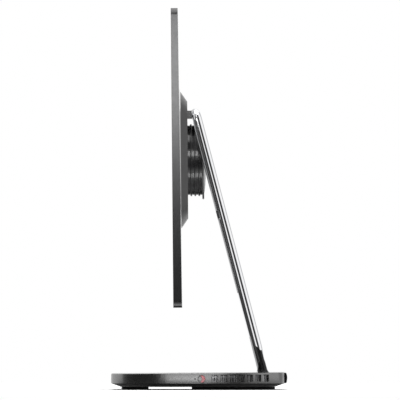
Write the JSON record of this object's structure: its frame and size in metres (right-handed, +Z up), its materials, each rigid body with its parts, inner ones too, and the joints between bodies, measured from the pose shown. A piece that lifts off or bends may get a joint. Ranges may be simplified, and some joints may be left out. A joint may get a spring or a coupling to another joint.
{
  "type": "all in one pc",
  "caption": "Thin wedge-shaped display with a ribbed speaker drum behind it, tilting on a two-legged leaning chrome arm over a low rounded computer base.",
  "frame": {"origin": "on the surface that the feet stand on, under the middle of the base", "axes": "+Z up, the display faces -Y, +X is the viewer's right, the side with the power button and the air outlet"},
  "size_m": [0.576, 0.2124, 0.4573],
  "materials": {
    "screen_glass": "gloss",
    "panel_sheet": "gloss",
    "sheet_steel": "satin",
    "circuit_board": "matt",
    "black_plastic": "matt",
    "lens_glass": "gloss",
    "display_metal": "satin anodised",
    "housing_metal": "satin anodised",
    "bracket_metal": "satin anodised",
    "fastener_steel": "satin",
    "bush_brass": "satin",
    "drum_black": "gloss",
    "cap_grey": "satin",
    "base_metal": "satin anodised",
    "tray_black": "matt",
    "gloss_black": "gloss",
    "foot_rubber": "matt",
    "fin_metal": "satin",
    "light_pipe": "smoked",
    "connector_metal": "satin",
    "arm_chrome": "mirror polished",
    "cable_sheath": "matt",
    "button_metal": "satin",
    "crescent_red": "gloss"
  },
  "bodies": {
    "base": {"base_top_shell": "base_metal", "base_bottom_tray": "tray_black", "rear_port_panel": "gloss_black", "front_foot": "foot_rubber", "rear_feet": "foot_rubber", "tray_screws": "fastener_steel", "ballast_plate": "sheet_steel", "motherboard": "circuit_board", "processor": "circuit_board", "cold_plate": "fin_metal", "heat_pipe": "fin_metal", "heat_sink_fins": "fin_metal", "blower_housing": "black_plastic", "blower_stator": "black_plastic", "memory_modules": "circuit_board", "solid_state_drive": "circuit_board", "hard_drive": "sheet_steel", "wireless_card": "circuit_board", "power_switch": "black_plastic", "button_surround": "gloss_black", "status_light": "light_pipe", "usb_ports": "connector_metal", "hdmi_ports": "connector_metal", "ethernet_port": "connector_metal", "audio_jack": "black_plastic", "dc_inlet": "black_plastic", "arm_leg_left": "arm_chrome", "arm_leg_right": "arm_chrome", "hinge_shaft": "fastener_steel", "display_cable": "cable_sheath", "arm_foot_plate": "sheet_steel", "foot_plate_screws": "fastener_steel"},
    "display": {"cover_glass": "screen_glass", "lcd_cell": "panel_sheet", "diffuser_sheet": "panel_sheet", "light_guide": "panel_sheet", "led_strip": "circuit_board", "backlight_reflector": "panel_sheet", "panel_chassis": "sheet_steel", "webcam_module": "black_plastic", "webcam_lens": "lens_glass", "microphones": "black_plastic", "display_rear_cover": "display_metal", "rear_housing": "housing_metal", "hinge_bracket": "bracket_metal", "bracket_screws": "fastener_steel", "hinge_bushes": "bush_brass", "display_driver_board": "circuit_board", "speakers": "black_plastic", "woofer_drum": "drum_black", "woofer_driver": "black_plastic", "drum_cap": "cap_grey"},
    "power_button": {"power_button": "gloss_black", "button_disc": "button_metal", "button_crescent": "crescent_red"},
    "blower_impeller": {"blower_impeller": "black_plastic"}
  },
  "joints": [
    {"name": "display_tilt", "type": "hinge", "parent": "base", "child": "display", "pos_m": [0, -0.00437, 0.33313], "axis": [-1, 0, 0], "range_deg": [-5, 25]},
    {"name": "power_button_press", "type": "slide", "parent": "base", "child": "power_button", "axis": [-1, 0, 0], "range_m": [0, 0.0008], "stiffness_N_per_m": 600, "springref_m": -0.001},
    {"name": "blower_spin", "type": "hinge", "parent": "base", "child": "blower_impeller", "pos_m": [0.078, 0.034, 0.011], "axis": [0, 0, 1], "continuous": true}
  ]
}
